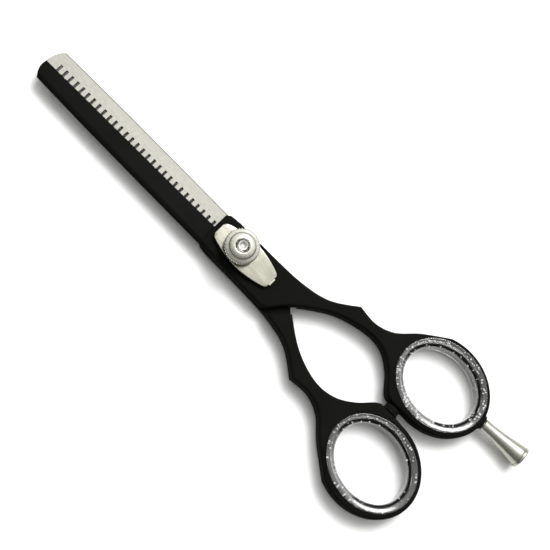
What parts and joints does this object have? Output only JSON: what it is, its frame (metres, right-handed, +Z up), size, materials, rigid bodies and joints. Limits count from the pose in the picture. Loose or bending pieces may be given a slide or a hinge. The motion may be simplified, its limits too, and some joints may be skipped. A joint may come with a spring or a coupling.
{
  "type": "thinning shears",
  "caption": "Hairdressing thinning shears: black straight blade over a slotted steel blade, screw pivot with leaf spring and thumb nut, ring inserts, bumper and finger rest.",
  "frame": {"origin": "on the pivot axis, on the underside of the pivot screw's head, which is in the surface that the shears lie on", "axes": "+X towards the blade tips, +Y towards the thumb ring, +Z up along the pivot axis, out of the thumb nut"},
  "size_m": [0.1663, 0.0551, 0.0124],
  "materials": {
    "black_coat_upper": "satin black coat",
    "black_coat_lower": "satin black coat, with the satin steel inner face bare",
    "screw_steel": "turned steel",
    "washer_nylon": "natural nylon",
    "bush_nylon": "natural nylon",
    "spring_nickel": "bright nickel",
    "washer_steel": "bright steel",
    "nut_chrome": "bright chrome",
    "clear_silicone_finger": "clear silicone with silver glitter",
    "clear_silicone_thumb": "clear silicone with silver glitter",
    "black_rubber": "matt black",
    "rest_chrome": "satin chrome"
  },
  "bodies": {
    "toothed_half": {"toothed_blade_half": "black_coat_lower", "pivot_screw": "screw_steel", "glide_washer": "washer_nylon", "thumb_ring_insert": "clear_silicone_thumb", "bumper": "black_rubber"},
    "straight_half": {"straight_blade_half": "black_coat_upper", "pivot_bush": "bush_nylon", "plate_washer": "washer_steel", "tension_plate": "spring_nickel", "finger_ring_insert": "clear_silicone_finger"},
    "thumb_nut": {"thumb_nut": "nut_chrome"},
    "finger_rest": {"finger_rest": "rest_chrome"}
  },
  "joints": [
    {"name": "blade_pivot", "type": "hinge", "parent": "toothed_half", "child": "straight_half", "pos_m": [0, 0, 0], "axis": [0, 0, 1], "range_deg": [0, 90]},
    {"name": "thumb_nut_turn", "type": "hinge", "parent": "toothed_half", "child": "thumb_nut", "pos_m": [0, 0, 0.0105], "axis": [0, 0, 1], "continuous": true},
    {"name": "finger_rest_turn", "type": "hinge", "parent": "straight_half", "child": "finger_rest", "pos_m": [-0.0801, -0.0152, 0.0036], "axis": [-0.9976, -0.0698, 0], "continuous": true}
  ]
}
